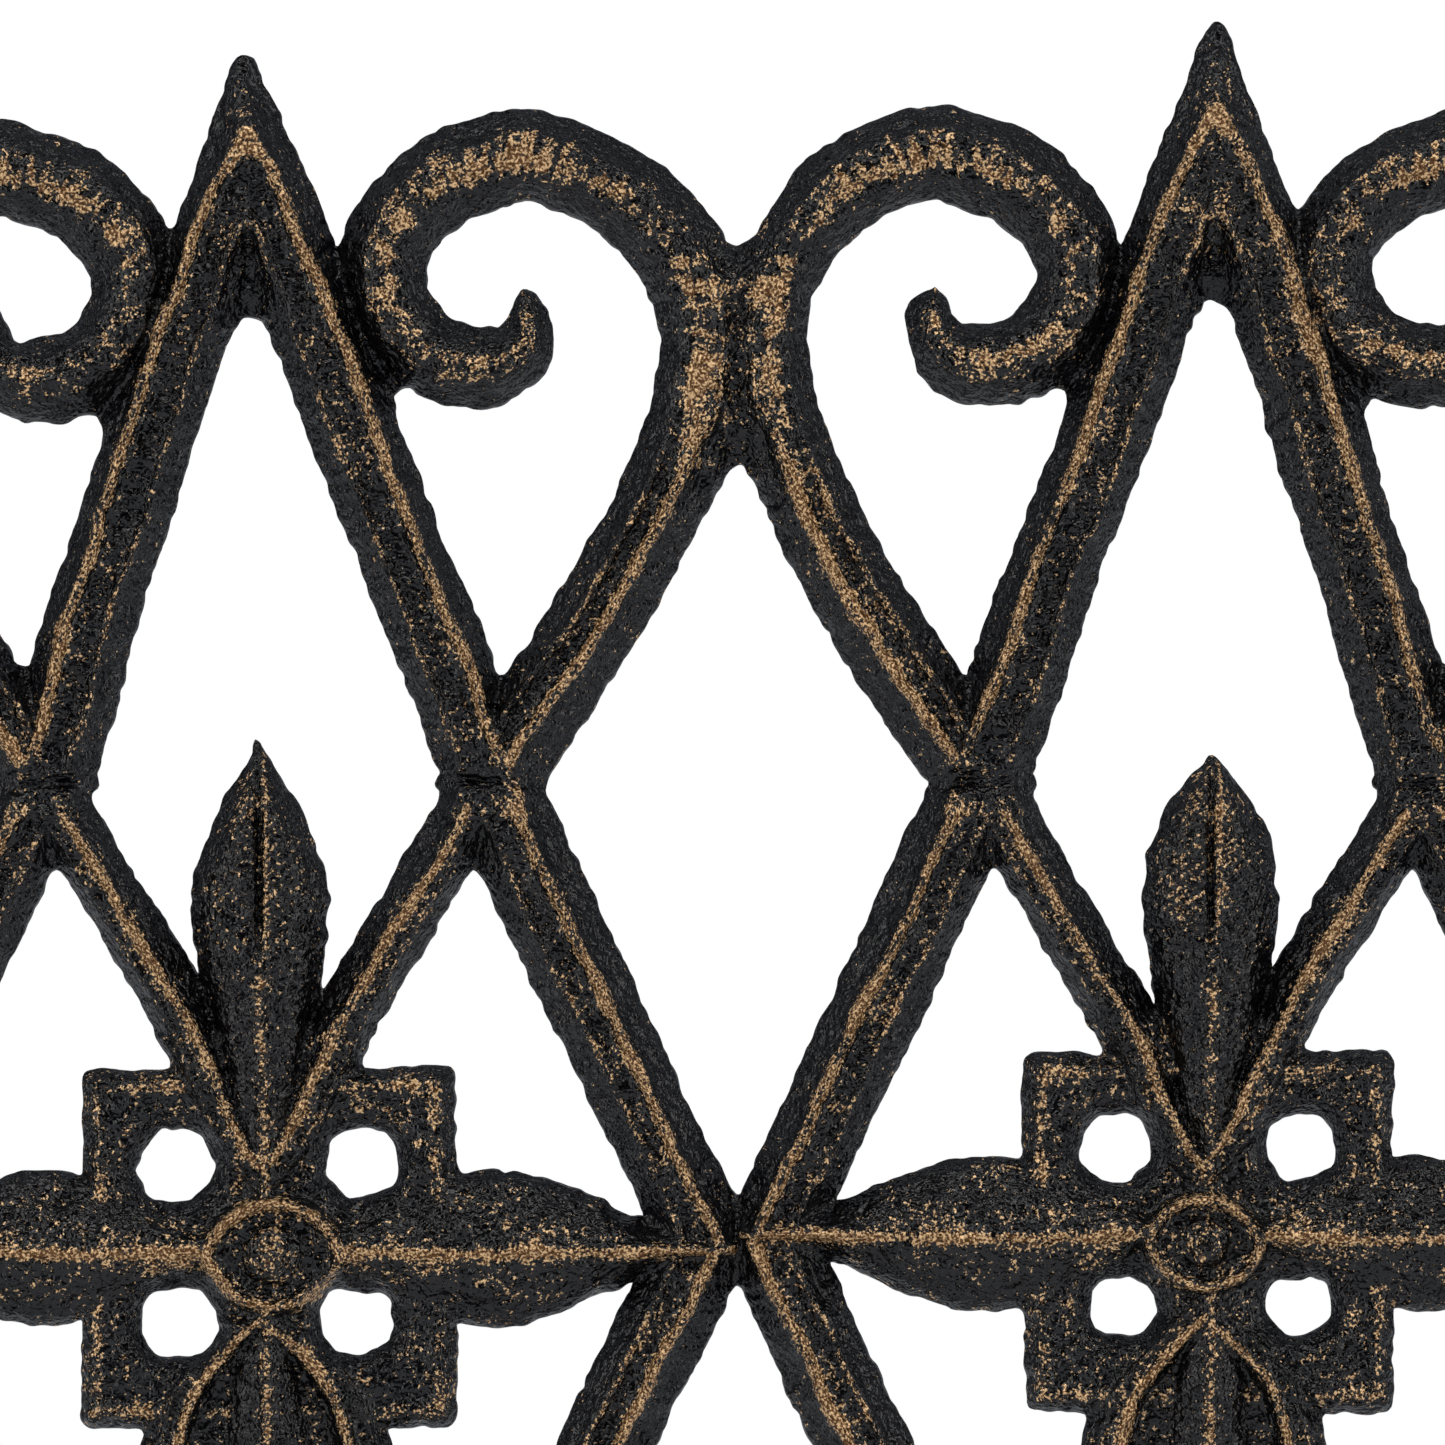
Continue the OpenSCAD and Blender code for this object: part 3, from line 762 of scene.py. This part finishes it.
def antique_iron(name, gilded):
    """Rough cast iron under glossy black paint, dry brushed with gold. The gold lies where the mesh's gilt
    attribute is high or, if it has none, on convex edges."""
    m, tree, shader = material(name, (0.012, 0.012, 0.014), 0.3)
    g = Graph(tree)
    pebble = g.noise(1100, 3.0, 0.62)
    grain = g.noise(2600, 1.0, 0.6)
    patches = g.noise(230, 3.0, 0.6)
    if gilded:
        attribute = tree.nodes.new("ShaderNodeAttribute")
        attribute.attribute_name = "gilt"
        gilt = attribute.outputs["Fac"]
    else:
        geometry = tree.nodes.new("ShaderNodeNewGeometry")
        gilt = g.ramp(geometry.outputs["Pointiness"], 0.5, 0.58, 0.06, 0.7)
    worn = gilt
    for texture, share in ((pebble, 2.5), (patches, 1.5), (grain, 1.7)):
        worn = g.math("ADD", g.math("MULTIPLY", g.math("SUBTRACT", texture, 0.5), share), worn)
    gold = g.ramp(worn, 0.48, 0.74)
    paint = g.mix(g.ramp(patches, 0.35, 0.7), (0.0008, 0.0008, 0.0012), (0.0022, 0.0022, 0.0035))
    brushed = g.mix(g.ramp(grain, 0.44, 0.66), (0.14, 0.058, 0.015), (1.0, 0.66, 0.34))
    g.link(g.mix(gold, paint, brushed), shader.inputs["Base Color"])
    shader.inputs["Specular IOR Level"].default_value = 0.5
    g.link(g.math("MULTIPLY", gold, 0.5), shader.inputs["Metallic"])
    rough = g.math("MULTIPLY", gold, 0.15)
    g.link(g.math("ADD", g.ramp(pebble, 0.35, 0.65, 0.32, 0.16), rough), shader.inputs["Roughness"])
    lumps = g.bump(g.noise(900, 1.0, 0.55), 0.0007, None)
    g.bump(g.noise(2600, 0.0), 0.00014, shader, 1.0, lumps)
    return m


def turned_steel(name, colour, rough, rings):
    """Steel with fine turning marks. rings: how the marks are stretched along each axis."""
    m, tree, shader = material(name, colour, rough, 1.0)
    g = Graph(tree)
    streaks = g.noise(180, 3.0, 0.6, rings)
    stain = g.noise(260, 3.0, 0.6)
    dark = tuple(c * 0.55 for c in colour)
    g.link(g.mix(g.ramp(stain, 0.4, 0.75), colour, dark), shader.inputs["Base Color"])
    g.link(g.ramp(streaks, 0.3, 0.7, rough - 0.08, rough + 0.14), shader.inputs["Roughness"])
    g.bump(streaks, 0.00004, shader)
    return m


def dulled_brass(name):
    m, tree, shader = material(name, (0.62, 0.42, 0.17), 0.35, 1.0)
    g = Graph(tree)
    tarnish = g.noise(420, 4.0, 0.65)
    colour = g.mix(g.ramp(tarnish, 0.42, 0.68), (0.62, 0.42, 0.17), (0.16, 0.09, 0.035))
    g.link(colour, shader.inputs["Base Color"])
    g.link(g.ramp(tarnish, 0.3, 0.7, 0.28, 0.6), shader.inputs["Roughness"])
    g.bump(tarnish, 0.00005, shader)
    return m


def pad_rubber(name):
    m, tree, shader = material(name, (0.022, 0.022, 0.022), 0.75)
    g = Graph(tree)
    dust = g.noise(300, 4.0, 0.6)
    colour = g.mix(g.ramp(dust, 0.5, 0.8), (0.018, 0.018, 0.018), (0.055, 0.052, 0.048))
    g.link(colour, shader.inputs["Base Color"])
    g.link(g.ramp(dust, 0.3, 0.7, 0.65, 0.9), shader.inputs["Roughness"])
    g.bump(g.noise(2400, 2.0, 0.5), 0.00005, shader)
    return m


IRON = antique_iron("antique_iron_gilded", True)
IRON_PLAIN = antique_iron("antique_iron_hardware", False)
FINISHES = {
    "hinge_pin": turned_steel("pin_steel_dark", (0.2, 0.19, 0.18), 0.34, (1, 1, 9)),
    "spacers": dulled_brass("spacer_brass_dull"),
    "washers": turned_steel("fastener_steel_washer", (0.5, 0.5, 0.5), 0.38, (1, 1, 1)),
    "nuts": turned_steel("fastener_steel_nut", (0.46, 0.46, 0.47), 0.33, (1, 9, 1)),
    "pads": pad_rubber("pad_rubber_matt"),
}


ROUGH_CASTINGS = {"foot": 0.8, "finial": 0.45, "acorn_nut": 0.45}


def sand_cast(node, size):
    """Rounds the edges of a machined solid and gives it the uneven skin of a sand casting. size: the skin
    mesh's spacing in mm."""
    remesh = node.modifiers.new("rounded", "REMESH")
    remesh.mode = "VOXEL"
    remesh.voxel_size = size * MM
    remesh.use_smooth_shade = True
    ease_edges = node.modifiers.new("eased", "SMOOTH")
    ease_edges.iterations = 3
    for scale, depth in ((5.0, 0.35), (1.5, 0.22)):
        texture = bpy.data.textures.new(f"{node.name}_skin", "CLOUDS")
        texture.noise_scale = scale * MM
        rough = node.modifiers.new("skin", "DISPLACE")
        rough.texture = texture
        rough.texture_coords = "LOCAL"
        rough.strength = depth * MM
        rough.mid_level = 0.6


def finish_cad_nodes():
    """Gives every CAD node its material by the end of its name, and the rough castings their skin."""
    for name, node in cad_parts.items():
        finish = next((m for key, m in FINISHES.items() if name.endswith(key)), IRON_PLAIN)
        node.data.materials.clear()
        node.data.materials.append(finish)
        for kind, size in ROUGH_CASTINGS.items():
            if name.endswith(kind):
                sand_cast(node, size)


# ---------------------------------------------------------------- pieces

def repeat(**changes):
    """Casting irregularities of one repeat, lengths in millimetres: lean and height of the arch's tip, how
    far its bars stand out, length, bluntness and lean of the top leaf, place of the top rosette, relative
    size of its boss, how far the boss sits right and down, how much smaller its holes are, how far each
    scroll's curl sits in and up, and how round the end of its hook is (0 pointed, 1 a ball)."""
    quirk = dict(
        lean=0.0, tip=TIP_H, left_bar_out=0.0, right_bar_out=0.0,
        leaf=63.0, blunt=2.0, leaf_lean=0.0,
        rosette_x=0.0, rosette_z=0.0, eye=1.0, eye_right=0.0, eye_down=0.0, small_holes=0.0,
        left_curl_in=0.4, left_curl_up=0.0, left_ball=0.0,
        right_curl_in=0.4, right_curl_up=0.0, right_ball=0.0,
    )
    quirk.update(changes)
    return quirk


CENTRE_QUIRKS = [
    repeat(lean=0.8, leaf_lean=0.5, right_curl_in=1.2),
    repeat(lean=-2.9, tip=94.6, left_bar_out=0.9, right_bar_out=0.5, leaf=64.4, blunt=1.6, leaf_lean=-1.5,
           rosette_x=0.4, rosette_z=-0.8, eye_right=0.9, eye_down=0.8,
           left_curl_in=2.0, left_curl_up=-1.6, right_curl_in=0.0),
    repeat(lean=1.8, tip=97.9, left_bar_out=0.5, right_bar_out=1.1, leaf=62.4, blunt=2.6, leaf_lean=0.35,
           rosette_x=0.7, rosette_z=1.1, eye=0.84, eye_right=-0.9, eye_down=1.3, small_holes=0.5,
           left_curl_in=0.9, left_curl_up=0.4, left_ball=1.0, right_curl_in=1.2, right_curl_up=0.3),
    repeat(lean=-0.6, leaf_lean=-0.5, left_curl_up=-0.7, right_ball=0.9),
]
WING_QUIRKS = [
    repeat(lean=0.9, tip=95.6, leaf_lean=0.6, rosette_x=0.3, left_curl_in=1.0),
    repeat(lean=-1.4, tip=94.4, leaf=62.4, blunt=2.5, leaf_lean=-0.7, right_curl_up=-0.8),
]


def make_centre():
    """The centre casting with its outer hinge barrels, meshed finer at its top middle."""
    window_x = [(-95, 92, FINE_STEP)]
    window_z = [(ROW_A - 86, ROW_A + TIP_H + 4, FINE_STEP)]
    panel = panel_points(CENTRE_REPEATS, CENTRE_QUIRKS, window_x, window_z, CENTRE_STEP)
    parts = [(on_centre(panel[0]), *panel[1:])]
    for side in (-1, 1):
        for verts, faces, gilt in barrels([z + k for z in HINGE_Z for k in (0, 2 * BARREL_STEP)]):
            verts = np.column_stack([side * (HALF_W - verts[:, 0]), verts[:, 1:]])
            parts.append((on_centre(verts), flipped(faces, side > 0), gilt))
    piece = mesh_object("centre_panel_casting", *joined(parts))
    piece.data.materials.append(IRON)
    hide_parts("centre_panel")
    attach(piece, "centre")


def make_wing(side, name):
    """A wing casting with its middle hinge barrels. side: 1 on the right, -1 on the left."""
    verts, faces, gilt = panel_points(WING_REPEATS, WING_QUIRKS[::side], [], [], WING_STEP)
    verts[:, 0] += WING_REPEATS * PERIOD / 2
    parts = [(verts, faces, gilt)]
    parts += list(barrels([z + BARREL_STEP for z in HINGE_Z]))
    parts = [(on_wing(v, side), flipped(f, side < 0), g) for v, f, g in parts]
    piece = mesh_object(name + "_casting", *joined(parts))
    piece.data.materials.append(IRON)
    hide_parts(name)
    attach(piece, name)


# ---------------------------------------------------------------- stage

def area_light(name, place, target, size, energy):
    data = bpy.data.lights.new(name, "AREA")
    data.shape = "RECTANGLE"
    data.size, data.size_y = size
    data.energy = energy
    light = bpy.data.objects.new(name, data)
    light.location = place
    aim = Vector(target) - Vector(place)
    light.rotation_euler = aim.to_track_quat("-Z", "Y").to_euler()
    light.visible_camera = False
    bpy.context.collection.objects.link(light)


def make_world():
    """White for the camera. For lighting, a cloudy surround that is bright beside and behind the screen and
    dim in front of it, so the rough paint has something to glint in."""
    world = bpy.data.worlds.new("studio")
    world.use_nodes = True
    bpy.context.scene.world = world
    tree = world.node_tree
    g = Graph(tree)
    direction = tree.nodes.new("ShaderNodeTexCoord").outputs["Generated"]
    parts = tree.nodes.new("ShaderNodeSeparateXYZ")
    g.link(direction, parts.inputs[0])
    g.place = direction
    around = g.ramp(parts.outputs["Y"], -0.85, 0.3, 0.003, 0.21)
    above = g.ramp(parts.outputs["Z"], -1, 1, 0.6, 1.2)
    clouds = g.ramp(g.noise(4.5, 1.0, 0.5), 0.42, 0.6, 0.05, 1.7)
    light = g.math("MULTIPLY", g.math("MULTIPLY", around, above), clouds)
    rays = tree.nodes.new("ShaderNodeLightPath").outputs
    seen = rays["Is Camera Ray"]
    scattered = rays["Is Diffuse Ray"]
    background = tree.nodes["Background"]
    g.link(g.mix(seen, (0.93, 0.97, 1.08), (1.0, 1.0, 1.0)), background.inputs["Color"])
    g.link(g.math("MAXIMUM", seen, g.math("MAXIMUM", light, g.math("MULTIPLY", scattered, 0.5))),
           background.inputs["Strength"])


def make_floor():
    bm = bmesh.new()
    bmesh.ops.create_circle(bm, cap_ends=True, segments=96, radius=4.5)
    mesh = bpy.data.meshes.new("floor")
    bm.to_mesh(mesh)
    bm.free()
    floor = bpy.data.objects.new("floor", mesh)
    bpy.context.collection.objects.link(floor)
    pale = material("floor_pale", (0.8, 0.8, 0.79), 0.6)[0]
    mesh.materials.append(pale)


def make_camera():
    """Square on to the top of the centre panel, framing one valley between two arches."""
    data = bpy.data.cameras.new("camera")
    data.lens = 250
    data.sensor_width = 36
    view_width = 184.47
    front_of_casting = -MIDDLE_Y - 7
    away = view_width * data.lens / data.sensor_width
    camera = bpy.data.objects.new("camera", data)
    camera.location = (-1.6 * MM, (front_of_casting - away) * MM, (ROW_A + 7.6) * MM)
    camera.rotation_euler = (math.pi / 2, 0, 0)
    bpy.context.collection.objects.link(camera)
    bpy.context.scene.camera = camera


def make_lights():
    target = (0, -0.05, 0.42)
    area_light("left_softbox", (-1.5, -0.8, 0.9), target, (0.9, 1.5), 8)
    area_light("right_softbox", (1.5, -0.8, 0.9), target, (0.9, 1.5), 8)
    area_light("top_softbox", (0, -0.9, 2.0), target, (1.5, 0.7), 8)


finish_cad_nodes()
make_centre()
make_wing(1, "right_wing")
make_wing(-1, "left_wing")
make_world()
make_floor()
make_lights()
make_camera()
bpy.context.scene.view_settings.view_transform = "Standard"
